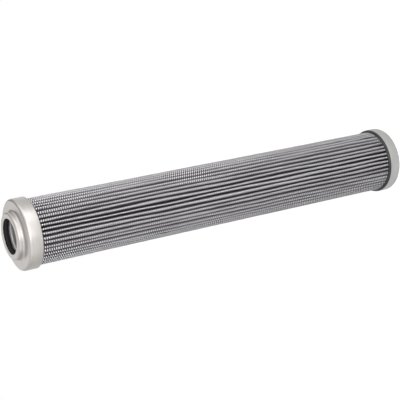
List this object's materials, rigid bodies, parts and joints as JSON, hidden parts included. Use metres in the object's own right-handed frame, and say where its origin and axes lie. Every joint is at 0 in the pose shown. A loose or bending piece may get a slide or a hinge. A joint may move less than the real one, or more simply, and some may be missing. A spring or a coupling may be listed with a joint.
{
  "type": "hydraulic filter element",
  "caption": "Slim pleated hydraulic filter element with wire-cloth folds, a perforated core, a blind drawn cap and an open cap with a sealed neck.",
  "frame": {"origin": "centre of the closed cap's end face, on which the element stands", "axes": "+Z along the element's axis, from the closed end to the open neck; +X points at the pleat pack's side seam"},
  "size_m": [0.048, 0.048, 0.3065],
  "materials": {
    "open_end_cap": "drawn and tin-plated, satin",
    "seal_ring": "matt moulded nitrile rubber",
    "seal_retainer": "pressed, satin",
    "open_end_resin": "cast resin",
    "outer_mesh": "woven wire cloth",
    "outer_fleece": "spun fleece",
    "filter_media": "glass fibre felt",
    "inner_fleece": "spun fleece",
    "inner_mesh": "woven wire cloth",
    "seam_strip": "crimped strip",
    "core_tube": "perforated tube, plain",
    "closed_end_resin": "cast resin",
    "closed_end_cap": "drawn and tin-plated, satin"
  },
  "bodies": {
    "root": {"open_end_cap": "open_end_cap", "seal_ring": "seal_ring", "seal_retainer": "seal_retainer", "open_end_resin": "open_end_resin", "outer_mesh": "outer_mesh", "outer_fleece": "outer_fleece", "filter_media": "filter_media", "inner_fleece": "inner_fleece", "inner_mesh": "inner_mesh", "seam_strip": "seam_strip", "core_tube": "core_tube", "closed_end_resin": "closed_end_resin", "closed_end_cap": "closed_end_cap"}
  },
  "joints": []
}
